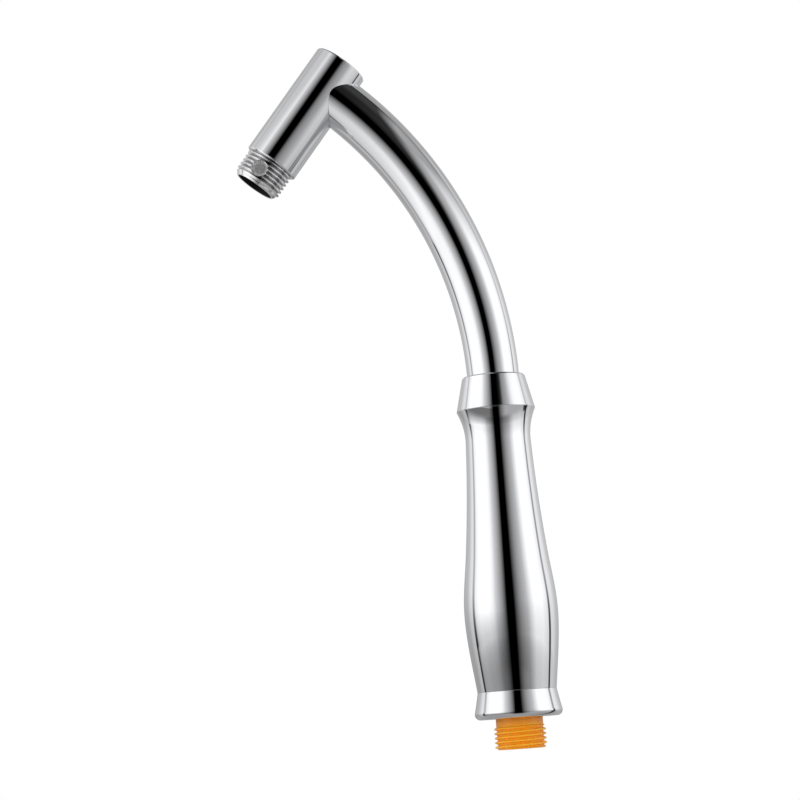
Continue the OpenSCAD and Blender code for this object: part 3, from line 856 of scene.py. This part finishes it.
def wall_level(tree, x, y, z):
    """The tent's wall: a dark slit in front, side cloths that brighten away from it, a greyer backdrop,
    and on each side a thin gap that is deepest at the foot; the left one ends at 1.2 m. The wall dims
    towards the foot, and turns grey towards the top, or dark in front on the right."""
    side = by_azimuth(tree, x, y, SIDE_LIGHT)
    right = rises(tree, x, -0.5, 0.5)
    left_gap = times(tree, ramp(tree, z, 0.9, 0.35, -0.1, 0.55), falls(tree, z, 0.8, 1.2))
    right_gap = ramp(tree, z, 0.97, 0.35, 0, 0.7)
    gap = times(tree, by_azimuth(tree, x, y, GAPS), blend(tree, left_gap, right_gap, right))
    front_foot = ramp(tree, z, blend(tree, 0.88, 0.76, right), 1, -0.1, 0.3)
    back_foot = ramp(tree, z, blend(tree, 0.64, 0.80, right), 1, -0.1, 0.3)
    foot = blend(tree, front_foot, back_foot, rises(tree, y, 0.1, 0.4))
    grey = calc(tree, "MINIMUM", side, ramp(tree, z, 1.1, 0.56, 1.05, 1.8))
    back = rises(tree, y, 0, 0.5)
    grey = times(tree, grey, blend(tree, 1, ramp(tree, z, 1, 0.8, 0.7, 1.9), back))
    back_right = times(tree, rises(tree, x, 0.55, 0.9), rises(tree, y, 0.3, 0.5))
    grey = times(tree, grey, blend(tree, 1, ramp(tree, z, 1, 0.76, 0.4, 1.2), back_right))
    dark = times(tree, side, ramp(tree, z, 1, 0.34, 0.92, 1.58))
    flank = times(tree, rises(tree, x, 0, 0.2), falls(tree, y, 0.37, 0.5))
    return times(tree, blend(tree, grey, dark, flank), rest_of(tree, gap), foot, KEY)


def base_level(tree, x, y, z):
    """The tent's base: grey under the wand, round that the light of the side cloths held down to a
    low grey, and further out a share of it that in front grows with the distance. The gaps run in
    across this share, and a dark seam runs out on the right as far as 0.69 m."""
    r = calc(tree, "SQRT", calc(tree, "ADD", times(tree, x, x), times(tree, y, y)))
    side = by_azimuth(tree, x, y, SIDE_LIGHT)
    right = rises(tree, x, -0.5, 0.5)
    left_share = ramp(tree, r, 0.52, 0.90, 0.5, 1.2)
    right_share = ramp(tree, r, 0.44, 0.76, 0.5, 1.2)
    back_share = blend(tree, 0.62, 0.70, right)
    share = blend(tree, left_share, right_share, right)
    share = blend(tree, share, back_share, rises(tree, y, 0.1, 0.4))
    depth = blend(tree, ramp(tree, r, 0.5, 0.3, 0.7, 1.4), 0.95, right)
    gap = times(tree, by_azimuth(tree, x, y, GAPS), depth)
    far = times(tree, side, share, rest_of(tree, gap))
    near = calc(tree, "MINIMUM", side, blend(tree, 0.36, 0.38, rises(tree, x, -0.1, 0.1)))
    inner = blend(tree, 0.30, near, rises(tree, r, 0.12, 0.28))
    seam = times(tree, by_azimuth(tree, x, y, SEAM), ramp(tree, r, 0.9, 0, 0.64, 0.69))
    level = blend(tree, inner, far, rises(tree, r, 0.45, 0.6))
    return times(tree, level, rest_of(tree, seam), KEY)


def ceiling_level(tree, x, y, z):
    """The tent's top: grey on the left, dark on the right."""
    return times(tree, ramp(tree, x, 0.4, 0.05, -0.5, 0.3), KEY)


def left_smoke(tree, x, y, z):
    """Dims most at the foot and not at all at the top, and nearly black in a thin line under the gap
    between the cloths."""
    line = times(tree, by_azimuth(tree, x, y, GAPS), ramp(tree, z, 0.9, 0, -0.01, 0.07))
    shade = times(tree, ramp(tree, z, 0.72, 1, -0.03, 0.015), ramp(tree, z, 0.62, 1, 0.015, 0.07))
    return times(tree, shade, rest_of(tree, line))


def right_smoke(tree, x, y, z):
    """Nearly black above a slanting line, and clear below it."""
    above = calc(tree, "SUBTRACT", z, calc(tree, "MULTIPLY_ADD", x, *RIGHT_EDGE))
    return ramp(tree, above, 1, 0.12, -0.06, 0.05)


def cloth(name, kind, key, level):
    """A material with one shader, whose colour or strength is level(tree, x, y, z), in metres."""
    material = bpy.data.materials.new(name)
    material.use_nodes = True
    tree = material.node_tree
    tree.nodes.remove(tree.nodes["Principled BSDF"])
    split = tree.nodes.new("ShaderNodeSeparateXYZ")
    tree.links.new(tree.nodes.new("ShaderNodeTexCoord").outputs["Object"], split.inputs["Vector"])
    shader = tree.nodes.new(kind)
    tree.links.new(level(tree, *split.outputs), shader.inputs[key])
    tree.links.new(shader.outputs[0], tree.nodes["Material Output"].inputs["Surface"])
    return material


def glow(name, level):
    """A light-giving cloth."""
    return cloth(name, "ShaderNodeEmission", "Strength", level)


def stage_piece(name, verts, faces, material):
    """A part of the studio, in metres."""
    mesh = bpy.data.meshes.new(name)
    mesh.from_pydata(verts.tolist(), [], faces)
    mesh.materials.append(material)
    piece = bpy.data.objects.new(name, mesh)
    bpy.context.scene.collection.objects.link(piece)
    return piece


def circle(radius, z, sides=96):
    """Points x = r cos a, y = r sin a."""
    a = np.linspace(0, 2 * np.pi, sides, endpoint=False)
    return np.stack([radius * np.cos(a), radius * np.sin(a), z + 0 * a], -1)


def film(name, arc, radius, low, high, level, columns=60):
    """An upright film on an arc round the wand, that dims only what is mirrored through it:
    x = r sin a, y = -r cos a."""
    a = np.radians(np.linspace(*arc, columns))
    foot = np.stack([radius * np.sin(a), -radius * np.cos(a), low + 0 * a], -1)
    k = np.arange(len(foot) - 1)
    faces = np.stack([k, k + 1, k + 1 + len(foot), k + len(foot)], -1).tolist()
    piece = stage_piece(name, np.vstack([foot, foot + (0, 0, high - low)]), faces,
                        cloth(name, "ShaderNodeBsdfTransparent", "Color", level))
    piece.visible_diffuse = False
    piece.visible_shadow = False
    return piece


def pale_floor():
    """A matt pale floor that turns into plain white away from the wand."""
    material, tree, shader, coords = finish_nodes("pale_floor")
    pale = grained(tree, noise(tree, coords, 300), (0.85, 0.85, 0.85), (0.88, 0.88, 0.88))
    tree.links.new(pale, shader.inputs["Base Color"])
    shader.inputs["Roughness"].default_value = 0.8
    white = tree.nodes.new("ShaderNodeEmission")
    mix = tree.nodes.new("ShaderNodeMixShader")
    far = rises(tree, vector(tree, "LENGTH", "Value", coords), WHITE_FROM, WHITE_BY)
    tree.links.new(far, mix.inputs["Fac"])
    tree.links.new(shader.outputs["BSDF"], mix.inputs[1])
    tree.links.new(white.outputs["Emission"], mix.inputs[2])
    tree.links.new(mix.outputs["Shader"], tree.nodes["Material Output"].inputs["Surface"])
    return material


def make_studio():
    """A round light tent about the wand, which only its reflections and its light show, a soft light
    low in front that the metal doesn't mirror, a pale floor, and a white world behind."""
    n = len(circle(1, 0))
    low, ahead = np.arange(n), np.roll(np.arange(n), -1)
    whole = [list(range(n))]
    lap = 0.01
    wall = np.vstack([circle(TENT_R, FLOOR_Z - lap), circle(TENT_R, TENT_TOP + lap)])
    round_wall = np.stack([low, ahead, ahead + n, low + n], -1).tolist()
    tent = (stage_piece("tent_wall", wall, round_wall, glow("tent_wall", wall_level)),
            stage_piece("tent_base", circle(TENT_R, FLOOR_Z), whole, glow("tent_base", base_level)),
            stage_piece("tent_top", circle(TENT_R, TENT_TOP), whole, glow("tent_top", ceiling_level)))
    films = (film("left_film", *LEFT_FILM, left_smoke), film("right_film", *RIGHT_FILM, right_smoke))
    for part in (*tent, *films):
        part.visible_camera = False
    floor = stage_piece("floor", circle(1.05 * TENT_R, FLOOR_Z + 0.001), whole, pale_floor())
    floor.visible_glossy = False

    lamp = bpy.data.lights.new("front_fill", "AREA")
    lamp.energy, lamp.size = FILL_POWER, FILL_SIZE
    fill = bpy.data.objects.new("front_fill", lamp)
    fill.location = FILL_AT
    fill.rotation_euler = (FILL_TILT, 0, 0)
    fill.visible_glossy = False
    fill.visible_camera = False
    bpy.context.scene.collection.objects.link(fill)

    world = bpy.data.worlds.new("studio")
    bpy.context.scene.world = world
    world.use_nodes = True
    tree = world.node_tree
    seen = tree.nodes.new("ShaderNodeLightPath").outputs["Is Camera Ray"]
    strength = ramp(tree, seen, WORLD_LIGHT, 1, 0, 1)
    tree.links.new(strength, tree.nodes["Background"].inputs["Strength"])
    tree.nodes["Background"].inputs["Color"].default_value = (1, 1, 1, 1)


make_camera()
make_studio()
bpy.context.scene.view_settings.view_transform = "Standard"
